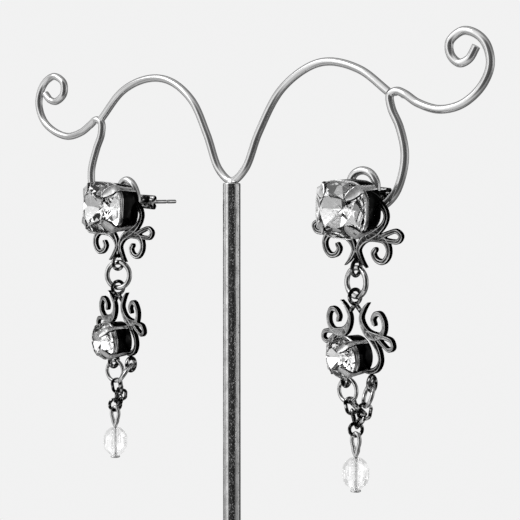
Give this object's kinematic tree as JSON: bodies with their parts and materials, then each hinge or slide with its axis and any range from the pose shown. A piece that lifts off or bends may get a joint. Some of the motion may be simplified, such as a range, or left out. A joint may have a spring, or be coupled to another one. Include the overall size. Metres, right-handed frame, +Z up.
{
  "type": "pair of stud drop earrings on a wire display stand",
  "caption": "Stud earrings with a square crystal in scrollwork over a ring, a round crystal, a short chain and a bead, hung on a polished wire stand with a round foot.",
  "frame": {"origin": "middle of the round foot's underside", "axes": "+Z up along the stand's post, +X to the viewer's right along the wires, -Y the side the earrings face"},
  "size_m": [0.0911, 0.07, 0.1213],
  "materials": {
    "stand_chrome": "mirror polished",
    "dark_plate": "blackened silver plate with bright polished edges",
    "plate": "antiqued silver plate",
    "crystal": "clear faceted crystal with a foiled back",
    "bead_glass": "clear faceted glass"
  },
  "bodies": {
    "stand": {"stand_base": "stand_chrome", "stand_frame": "stand_chrome", "right_upper_frame": "dark_plate", "right_upper_stone": "crystal", "right_ear_nut": "plate", "left_upper_frame": "dark_plate", "left_upper_stone": "crystal", "left_ear_nut": "plate"},
    "right_ring": {"right_connector_ring": "plate"},
    "right_drop": {"right_lower_frame": "plate", "right_lower_stone": "crystal", "right_jump_ring_left": "plate", "right_jump_ring_right": "plate", "right_chain": "plate", "right_head_pin": "plate", "right_bead": "bead_glass"},
    "left_ring": {"left_connector_ring": "plate"},
    "left_drop": {"left_lower_frame": "plate", "left_lower_stone": "crystal", "left_jump_ring_left": "plate", "left_jump_ring_right": "plate", "left_chain": "plate", "left_head_pin": "plate", "left_bead": "bead_glass"}
  },
  "joints": [
    {"name": "right_ring_sway", "type": "hinge", "parent": "stand", "child": "right_ring", "pos_m": [0.02461, -0.00122, 0.08669], "axis": [0.2756, 0.9613, 0], "range_deg": [-5, 8]},
    {"name": "right_drop_swing", "type": "hinge", "parent": "right_ring", "child": "right_drop", "pos_m": [0.02461, -0.00122, 0.08239], "axis": [0.9613, -0.2756, 0], "range_deg": [-40, 40]},
    {"name": "left_ring_sway", "type": "hinge", "parent": "stand", "child": "left_ring", "pos_m": [-0.02258, -0.00231, 0.08658], "axis": [-0.2419, 0.9703, 0], "range_deg": [-8, 8]},
    {"name": "left_drop_swing", "type": "hinge", "parent": "left_ring", "child": "left_drop", "pos_m": [-0.02258, -0.00231, 0.08228], "axis": [0.9703, 0.2419, 0], "range_deg": [-40, 40]}
  ]
}
